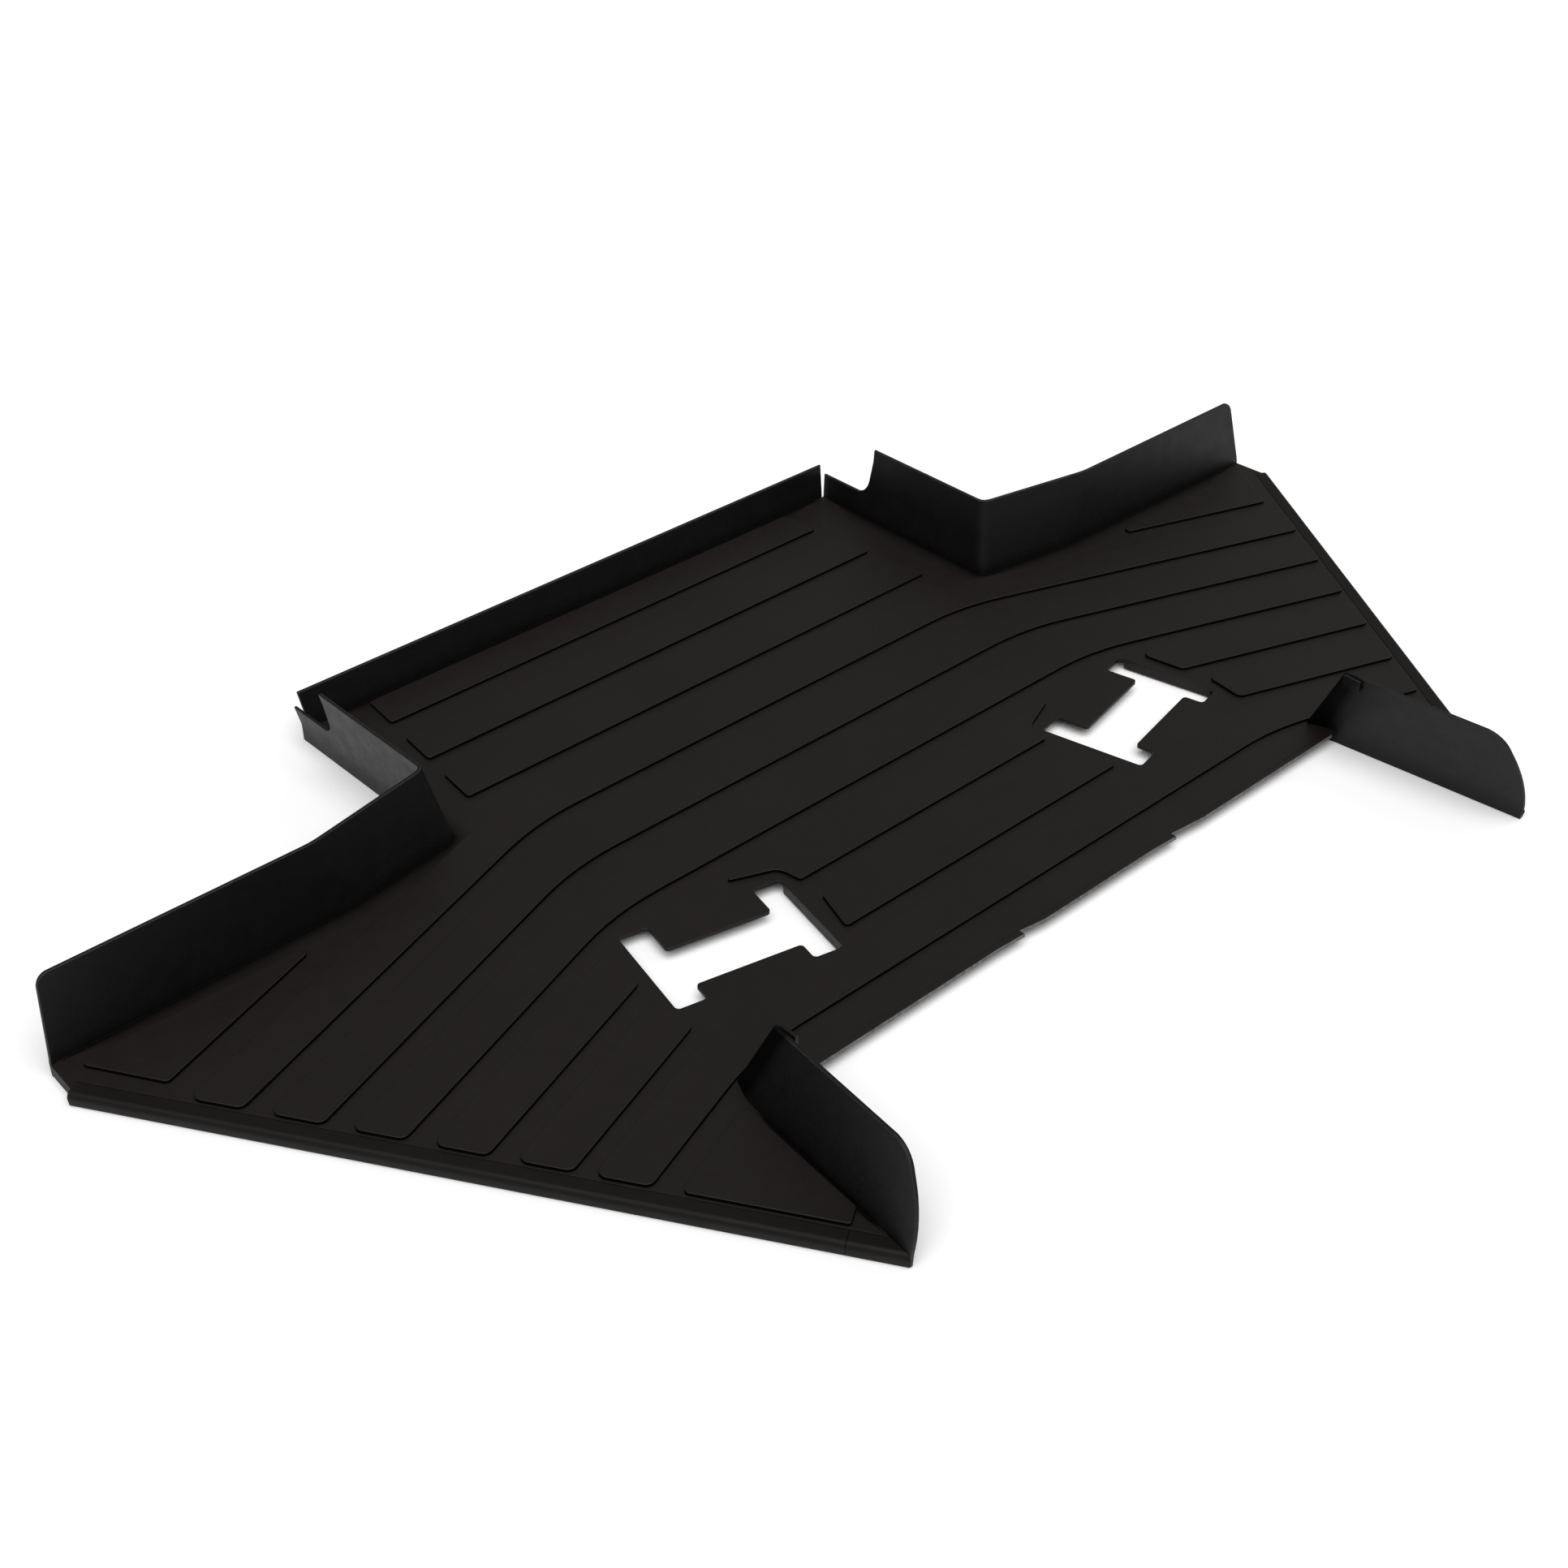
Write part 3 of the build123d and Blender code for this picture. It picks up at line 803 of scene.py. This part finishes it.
outer = densify(easeLoop(floorLoops[0]), floorShape["spacing"])
holes = [densify(loop, floorShape["spacing"])[::-1] for loop in floorLoops[1:]]
floorMesh = plate("floor", [outer, *holes], floorEdge, level["underside"], level["floor"],
                  floorShape["cove"], floorShape["sink"], floorShape["hold"])
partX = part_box("right_wing_floor")[0].x
place("floor.centre", cutMesh(floorMesh, "centre", ((partX, 0, 0), (1, 0, 0)),
                              ((-partX, 0, 0), (-1, 0, 0))),
      treadVinyl, "tread_sheet", "centre_floor")
placePair("floor.wing", cutMesh(floorMesh, "wing", ((partX, 0, 0), (-1, 0, 0))),
          treadVinyl, "tread_sheet", "wing_floor")


# front lip with its two finger notches: a groove at the joint, a round free edge

def frontEdge(p):
    if abs(p.y - lipBox[1].y) < frontShape["onJoint"]:
        return 0.0, frontShape["joint"], 0.0, frontShape["groove"]
    return 0.0, frontShape["edge"], 0.0, 0.0


frontLoop = densify(topEdges(["front_lip"])[0], frontShape["spacing"])
# the strip's sides are painted light: partly its cut edge, partly a painted reflection of the
# bright ground
mesh = plate("front", [frontLoop], frontEdge, level["underside"], level["floor"], 0.0, 0.0,
             frontShape["hold"], frontShape["sideWearAndReflection"])
place("front.strip", mesh, cutAndReflectionVinyl, "edge_sheet", "front_lip")
print("floor made")


# Tread slats: a Geometry Nodes tree sweeps the riser round each outline and closes it

def groupTree(name, sockets):
    tree = bpy.data.node_groups.new(name, "GeometryNodeTree")
    for label, kind, default in sockets:
        s = tree.interface.new_socket(label, in_out="INPUT", socket_type="NodeSocket" + kind)
        if default is not None:
            s.default_value = default
    tree.interface.new_socket("Geometry", in_out="OUTPUT", socket_type="NodeSocketGeometry")
    return tree, tree.nodes.new("NodeGroupInput"), tree.nodes.new("NodeGroupOutput")


weldGap = 0.002 * mm              # the swept riser and the filled faces meet this closely


def slatTree():
    tree, given, result = groupTree("tread slat", [
        ("Geometry", "Geometry", None), ("Riser", "Object", None),
        ("Rise", "Float", 3 * mm), ("Inset", "Float", 2 * mm),
        ("Sink", "Float", 0.3 * mm), ("Toe", "Float", 0.3 * mm), ("Level", "Float", 0.0),
        ("Material", "Material", None),
    ])
    add, link = tree.nodes.new, tree.links.new
    path = add("GeometryNodeMeshToCurve")
    link(given.outputs["Geometry"], path.inputs["Mesh"])
    upright = add("GeometryNodeSetCurveNormal")
    upright.mode = "Z_UP"
    link(path.outputs["Curve"], upright.inputs["Curve"])
    shape = add("GeometryNodeObjectInfo")
    link(given.outputs["Riser"], shape.inputs["Object"])
    riser = add("GeometryNodeMeshToCurve")
    link(shape.outputs["Geometry"], riser.inputs["Mesh"])
    sweep = add("GeometryNodeCurveToMesh")
    link(upright.outputs["Curve"], sweep.inputs["Curve"])
    link(riser.outputs["Curve"], sweep.inputs["Profile Curve"])
    join = add("GeometryNodeJoinGeometry")
    link(sweep.outputs["Mesh"], join.inputs[0])
    normal = add("GeometryNodeInputNormal")
    for side, rise, sign in (("Inset", "Rise", -1.0), ("Toe", "Sink", 1.0)):
        out = add("ShaderNodeMath")
        out.operation = "MULTIPLY"
        link(given.outputs[side], out.inputs[0])
        out.inputs[1].default_value = sign
        scaled = add("ShaderNodeVectorMath")
        scaled.operation = "SCALE"
        link(normal.outputs[0], scaled.inputs[0])
        link(out.outputs[0], scaled.inputs["Scale"])
        move = add("GeometryNodeSetPosition")
        link(upright.outputs["Curve"], move.inputs["Geometry"])
        link(scaled.outputs[0], move.inputs["Offset"])
        # the filled face comes out at zero height, so it is lifted afterwards
        fill = add("GeometryNodeFillCurve")
        link(move.outputs["Geometry"], fill.inputs["Curve"])
        up = add("ShaderNodeMath")
        up.operation = "ADD" if sign < 0 else "SUBTRACT"
        link(given.outputs["Level"], up.inputs[0])
        link(given.outputs[rise], up.inputs[1])
        lift = add("ShaderNodeCombineXYZ")
        link(up.outputs[0], lift.inputs["Z"])
        lifted = add("GeometryNodeSetPosition")
        link(fill.outputs["Mesh"], lifted.inputs["Geometry"])
        link(lift.outputs[0], lifted.inputs["Offset"])
        link(lifted.outputs["Geometry"], join.inputs[0])
    weld = add("GeometryNodeMergeByDistance")
    weld.inputs["Distance"].default_value = weldGap
    link(join.outputs[0], weld.inputs["Geometry"])
    real = add("GeometryNodeRealizeInstances")
    link(weld.outputs["Geometry"], real.inputs["Geometry"])
    paint = add("GeometryNodeSetMaterial")
    link(real.outputs["Geometry"], paint.inputs["Geometry"])
    link(given.outputs["Material"], paint.inputs["Material"])
    link(paint.outputs["Geometry"], result.inputs["Geometry"])
    return tree


def lipTree():
    tree, given, result = groupTree("sill lip", [
        ("Geometry", "Geometry", None), ("Profile", "Object", None),
        ("Spacing", "Float", 0.02), ("Material", "Material", None),
    ])
    add, link = tree.nodes.new, tree.links.new
    path = add("GeometryNodeMeshToCurve")
    link(given.outputs["Geometry"], path.inputs["Mesh"])
    even = add("GeometryNodeResampleCurve")
    even.mode = "LENGTH"
    link(path.outputs["Curve"], even.inputs["Curve"])
    link(given.outputs["Spacing"], even.inputs["Length"])
    upright = add("GeometryNodeSetCurveNormal")
    upright.mode = "Z_UP"
    link(even.outputs["Curve"], upright.inputs["Curve"])
    shape = add("GeometryNodeObjectInfo")
    link(given.outputs["Profile"], shape.inputs["Object"])
    profile = add("GeometryNodeMeshToCurve")
    link(shape.outputs["Geometry"], profile.inputs["Mesh"])
    sweep = add("GeometryNodeCurveToMesh")
    sweep.inputs["Fill Caps"].default_value = True
    link(upright.outputs["Curve"], sweep.inputs["Curve"])
    link(profile.outputs["Curve"], sweep.inputs["Profile Curve"])
    real = add("GeometryNodeRealizeInstances")
    link(sweep.outputs["Mesh"], real.inputs["Geometry"])
    paint = add("GeometryNodeSetMaterial")
    link(real.outputs["Geometry"], paint.inputs["Geometry"])
    link(given.outputs["Material"], paint.inputs["Material"])
    link(paint.outputs["Geometry"], result.inputs["Geometry"])
    return tree


def wire(name, points, closed):
    mesh = bpy.data.meshes.new(name)
    count = len(points)
    edges = [(k, (k + 1) % count) for k in range(count if closed else count - 1)]
    mesh.from_pydata([Vector((*p, 0)) if len(p) == 2 else p for p in points], edges, [])
    obj = bpy.data.objects.new(name, mesh)
    scene.collection.objects.link(obj)
    return obj


wearTurn = 0.2                    # an edge that turns more than this, in radians, shows wear
wearPerTurn = 0.9


def grown(base, tree, values, shadeBelow=-1.0):
    # evaluates the tree on a wire and returns a plain closed mesh
    mod = base.modifiers.new("shape", "NODES")
    mod.node_group = tree
    ids = {s.name: s.identifier for s in tree.interface.items_tree if s.in_out == "INPUT"}
    for label, value in values.items():
        mod[ids[label]] = value
    dg = bpy.context.evaluated_depsgraph_get()
    mesh = bpy.data.meshes.new_from_object(base.evaluated_get(dg))
    base.modifiers.remove(mod)
    bpy.data.objects.remove(base)
    bm = bmesh.new()
    bm.from_mesh(mesh)
    bmesh.ops.remove_doubles(bm, verts=bm.verts, dist=weldGap)
    bmesh.ops.recalc_face_normals(bm, faces=bm.faces)
    layer = bm.verts.layers.float.new("wear")
    shade = bm.verts.layers.float.new("shade")
    for v in bm.verts:
        turns = [e.calc_face_angle(0) for e in v.link_edges]
        v[layer] = min(1, sum(a for a in turns if a > wearTurn) * wearPerTurn)
        v[shade] = 1.0 if v.co.z < shadeBelow else 0.0
    return finished(bm, mesh)


slatShape = {"edge": 0.7 * mm, "hold": 1.5 * mm, "toe": 0.35 * mm, "sink": 0.4 * mm,
             "toeDrop": 0.25 * mm, "nip": 2.6 * mm, "pointed": 0.6}
rise = level["slat"] - level["floor"]
riserPoints = [(slatShape["toe"], slatShape["sink"]),
               (0.6 * slatShape["toe"], -slatShape["toeDrop"])]
for k in range(6):
    a = math.pi / 2 * k / 5
    e = slatShape["edge"]
    riserPoints.append((-e * (1 - math.cos(a)), -(rise - e) - e * math.sin(a)))
riserPoints.append((-slatShape["hold"], -rise))
riserWire = wire("riser", riserPoints, False)
treadTree = slatTree()


def nipped(loop, nip):
    # takes the point off the few corners that CAD leaves sharp
    result = []
    for i, p in enumerate(loop):
        before, after = p - loop[i - 1], loop[(i + 1) % len(loop)] - p
        if abs(before.angle_signed(after)) > slatShape["pointed"]:
            result += easedCorner(p, before.normalized(), after.normalized(), nip, 2)
        else:
            result.append(p)
    return result


for node in sorted(n for n in nodes if "slat" in n):
    loop = nipped(section(node, level["slat"] - hair)[0], slatShape["nip"])
    base = wire("outline", [Vector((p.x, p.y, level["floor"])) for p in loop], True)
    mesh = grown(base, treadTree, {
        "Riser": riserWire, "Rise": rise, "Level": level["floor"], "Inset": slatShape["hold"],
        "Sink": slatShape["sink"], "Toe": slatShape["toe"], "Material": treadVinyl,
    }, level["slat"] - 0.5 * slatShape["edge"])
    place("pad." + node, mesh, treadVinyl, "tread_sheet", node)
bpy.data.objects.remove(riserWire)
print("tread slats made")


# Sill lips: shelf, round nose and drop, swept along the crease

lipShape = {"shelf": 11.0, "reach": 15.5, "noseDrop": 5.5, "foot": 14.6, "groove": 0.6,
            "darkWidth": 0.3, "overrun": 60, "spacing": 12}    # millimetres, like the profile
t = sheet / mm
depth = (level["floor"] - level["ground"]) / mm
lipPoints = [(0.0, t * 0.98), (0.0, lipShape["groove"]), (0.25, 0.18), (0.7, 0.0), (2.5, 0.0),
             (lipShape["shelf"] - 1.5, 0.0)]
for k in range(9):
    a = math.pi / 2 * k / 8
    wide, tall = lipShape["reach"] - lipShape["shelf"], lipShape["noseDrop"]
    lipPoints.append((lipShape["shelf"] + wide * math.sin(a), tall * (1 - math.cos(a))))
lipPoints += [(lipShape["foot"] + 0.1, depth - 1.2), (lipShape["foot"] - 0.2, depth - 0.4),
              (lipShape["foot"] - 0.8, depth), (lipShape["foot"] - t + 0.8, depth),
              (lipShape["foot"] - t + 0.2, depth - 0.5), (lipShape["foot"] - t + 0.3, 7.4),
              (lipShape["foot"] - t - 0.6, 5.0), (lipShape["foot"] - t - 3.0, t)]
# the swept frame's first axis points to the right of the path, so the path runs forward to rear
lipWire = wire("lip profile", [(x * mm, y * mm) for x, y in lipPoints], True)
sweepTree = lipTree()
start = creaseSeam + along * lipShape["overrun"] * mm
crease = [Vector((*p, level["floor"])) for p in (start, creaseRear)]
lipMesh = grown(wire("crease", crease, False), sweepTree, {
    "Profile": lipWire, "Spacing": lipShape["spacing"] * mm, "Material": edgeVinyl,
})
for v in lipMesh.vertices:
    if (v.co.xy - creaseRear).dot(outward) < lipShape["darkWidth"] * mm:
        lipMesh.attributes["shade"].data[v.index].value = 1.0
bpy.data.objects.remove(lipWire)
finSide = footRun.normalized()
finAway = Vector((finSide.y, -finSide.x, 0))
finPoint = Vector((*finSeam, 0))
placePair("lip.sill", cutMesh(lipMesh, "sill", (seam3 - along3 * seamGap, along3)),
          edgeVinyl, "edge_sheet", "sill_lip")
placePair("lip.end", cutMesh(lipMesh, "end", (seam3 + along3 * seamGap, -along3),
                             (finPoint, finAway)),
          edgeVinyl, "edge_sheet", "sill_end")

# short skirt that turns down at each wing's rear outer corner
skirtShape = {"edge": 1.0 * mm, "spacing": 6 * mm, "thin": 0.9, "tuck": 3 * mm, "lap": 0.5 * mm}
wingCorner = corner("right_wing_floor", lowCut, (0.77, 0.13))
skirtFoot = knotLine([archEnd + Vector((0, skirtShape["tuck"])), wingCorner], [0, 0])
skirtFace = Leaning(skirtFoot, skirtFoot, level["floor"] * 2, level["tall"], -1)
skirtRun = skirtFoot[-1][0]
skirtTop = level["underside"] + skirtShape["lap"]
mesh = moulded("skirt", [Vector((0, level["ground"])), Vector((skirtRun, level["ground"])),
                         Vector((skirtRun, skirtTop)), Vector((0, skirtTop))],
               skirtFace, sheet * skirtShape["thin"], skirtShape["edge"], skirtShape["spacing"])
placePair("wing.skirt", mesh, edgeVinyl, "tread_sheet", "wing_floor")
print("sill lips made")


# Fin clips: a slotted tab on each fin's top inner corner

clipShape = {"edge": 0.45 * mm, "turn": 0.5}
bm = bmesh.new()
bm.from_mesh(nodes["right_fin_clip"].data)
bmesh.ops.remove_doubles(bm, verts=bm.verts, dist=1e-6)
bmesh.ops.dissolve_limit(bm, angle_limit=math.radians(2), verts=bm.verts, edges=bm.edges)
sharp = [e for e in bm.edges if e.calc_face_angle(0) > clipShape["turn"]]
bmesh.ops.bevel(bm, geom=sharp, offset=clipShape["edge"], segments=3, profile=0.5, affect="EDGES")
placePair("fin.tab", finished(bm, bpy.data.meshes.new("clip")),
          wallVinyl, "wall_sheet", "fin_clip")

for node in nodes:
    if "collar" in node:
        nodes[node].data.materials.clear()
        nodes[node].data.materials.append(treadVinyl)
print("clips and collars made")


# Studio: pale floor, soft lights and the camera

studio = {
    "groundSize": 40, "groundColour": (0.97, 0.97, 0.97, 1), "groundRoughness": 0.9,
    "skyPower": 2.75, "skyWidth": math.radians(70), "skyFrom": (-0.25, -0.35, 1),
    "boxSize": 2.2, "fill": 0.25,
    "boxes": {"light.left": ((-3.4, -1.2, 2.4), 7), "light.right": ((3.2, -0.6, 2.4), 18)},
}
view = {"place": (-1.2177, -1.183, 1.213), "down": 35.4763, "turn": 42.8766,
        "lens": 50.77, "sensor": 36}
stageMat = bpy.data.materials.new("stage")
stageMat.use_nodes = True
stageShader = stageMat.node_tree.nodes["Principled BSDF"]
stageShader.inputs["Base Color"].default_value = studio["groundColour"]
stageShader.inputs["Roughness"].default_value = studio["groundRoughness"]
bpy.ops.mesh.primitive_plane_add(size=studio["groundSize"], location=(0, 0, -2 * hair))
ground = bpy.context.object
ground.name = "stage.ground"
ground.data.materials.append(stageMat)

sky = bpy.data.lights.new("light.sky", "SUN")
sky.energy = studio["skyPower"]
sky.angle = studio["skyWidth"]
skyLight = bpy.data.objects.new("light.sky", sky)
skyLight.rotation_euler = Vector(studio["skyFrom"]).to_track_quat("Z", "Y").to_euler()
scene.collection.objects.link(skyLight)
for name, (location, power) in studio["boxes"].items():
    light = bpy.data.lights.new(name, "AREA")
    light.shape = "RECTANGLE"
    light.size = light.size_y = studio["boxSize"]
    light.energy = power
    box = bpy.data.objects.new(name, light)
    box.location = location
    box.rotation_euler = (-Vector(location)).to_track_quat("-Z", "Y").to_euler()
    scene.collection.objects.link(box)
world = bpy.data.worlds.new("studio")
scene.world = world
world.use_nodes = True
world.node_tree.nodes["Background"].inputs["Color"].default_value = (1, 1, 1, 1)
world.node_tree.nodes["Background"].inputs["Strength"].default_value = studio["fill"]
scene.view_settings.view_transform = "Standard"

camData = bpy.data.cameras.new("camera")
camData.lens = view["lens"]
camData.sensor_width = view["sensor"]
camera = bpy.data.objects.new("camera", camData)
camera.location = view["place"]
camera.rotation_euler = (math.radians(90 - view["down"]), 0, -math.radians(view["turn"]))
scene.collection.objects.link(camera)
scene.camera = camera
print("studio made")
